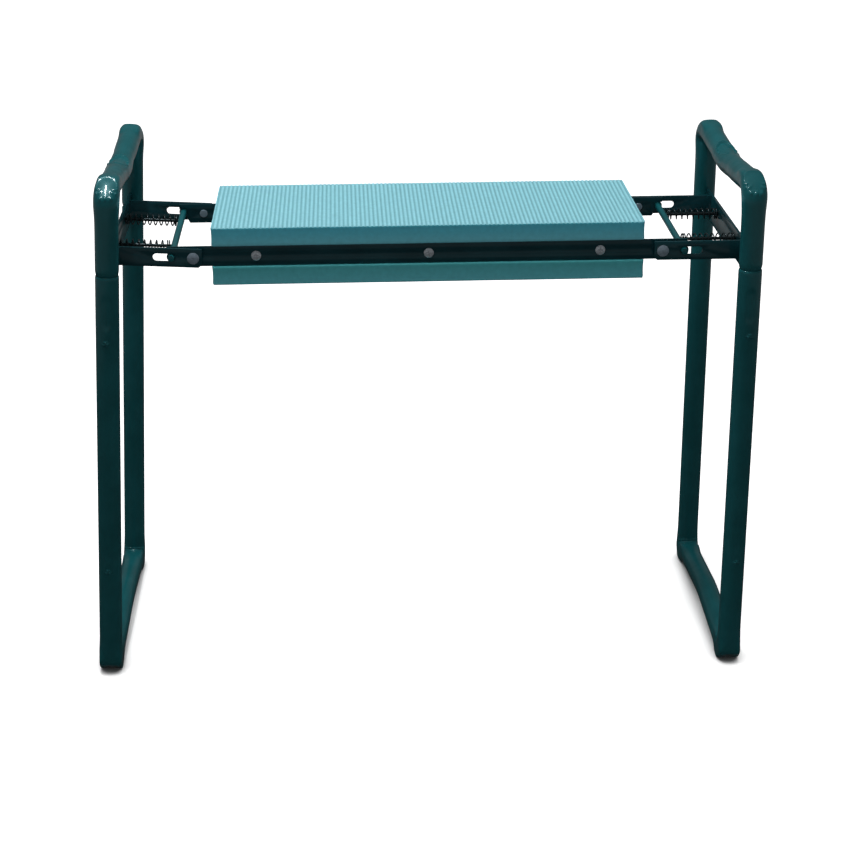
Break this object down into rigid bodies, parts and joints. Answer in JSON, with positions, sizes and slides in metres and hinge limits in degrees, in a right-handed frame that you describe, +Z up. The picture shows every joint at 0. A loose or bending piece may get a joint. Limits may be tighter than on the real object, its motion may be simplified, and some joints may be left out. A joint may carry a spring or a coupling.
{
  "type": "folding garden kneeler",
  "caption": "Folding garden kneeler and seat: ribbed foam pad on a railed board, hinged between two bent-tube leg frames with sprung lock rods.",
  "frame": {"origin": "on the floor under the middle of the whole object, measured between the outermost points of the two leg frames; the seat's middle lies about 10 mm to +X of it because the left legs splay out", "axes": "+X along the seat to the right leg frame, +Y from the front rail to the rear rail, +Z up"},
  "size_m": [0.6084, 0.2552, 0.4788],
  "materials": {
    "foam": "matt ribbed EVA foam",
    "board": "matt",
    "green_paint": "glossy dark green paint",
    "rivet": "zinc plated",
    "screw": "zinc plated",
    "rod": "plain steel",
    "spring": "plain spring steel"
  },
  "bodies": {
    "seat": {"rail_front": "green_paint", "rail_rear": "green_paint", "core_board": "board", "foam_top": "foam", "foam_bottom": "foam", "screws_front": "screw", "screws_rear": "screw", "left_pivot_rivets": "rivet", "right_pivot_rivets": "rivet", "left_pivot_spacers": "rivet", "right_pivot_spacers": "rivet"},
    "left_legs": {"left_handle_tube": "green_paint", "left_foot_tube": "green_paint", "left_bracket": "green_paint", "left_spring_front": "spring", "left_spring_rear": "spring"},
    "left_lock": {"left_lock_rod": "green_paint", "left_guide_pin_front": "rod", "left_guide_pin_rear": "rod"},
    "right_legs": {"right_handle_tube": "green_paint", "right_foot_tube": "green_paint", "right_bracket": "green_paint", "right_spring_front": "spring", "right_spring_rear": "spring"},
    "right_lock": {"right_lock_rod": "green_paint", "right_guide_pin_front": "rod", "right_guide_pin_rear": "rod"}
  },
  "joints": [
    {"name": "left_fold", "type": "hinge", "parent": "seat", "child": "left_legs", "pos_m": [-0.20094, 0, 0.39705], "axis": [0, -1, 0], "range_deg": [0, 97.5]},
    {"name": "left_lock_slide", "type": "slide", "parent": "left_legs", "child": "left_lock", "axis": [-0.9986, 0, 0.0523], "range_m": [0, 0.0128], "stiffness_N_per_m": 600, "springref_m": -0.01, "deforming": ["left_spring_front", "left_spring_rear"]},
    {"name": "right_fold", "type": "hinge", "parent": "seat", "child": "right_legs", "pos_m": [0.22106, 0, 0.39705], "axis": [0, 1, 0], "range_deg": [0, 85]},
    {"name": "right_lock_slide", "type": "slide", "parent": "right_legs", "child": "right_lock", "axis": [1, 0, 0], "range_m": [0, 0.0128], "stiffness_N_per_m": 600, "springref_m": -0.01, "deforming": ["right_spring_front", "right_spring_rear"]}
  ]
}
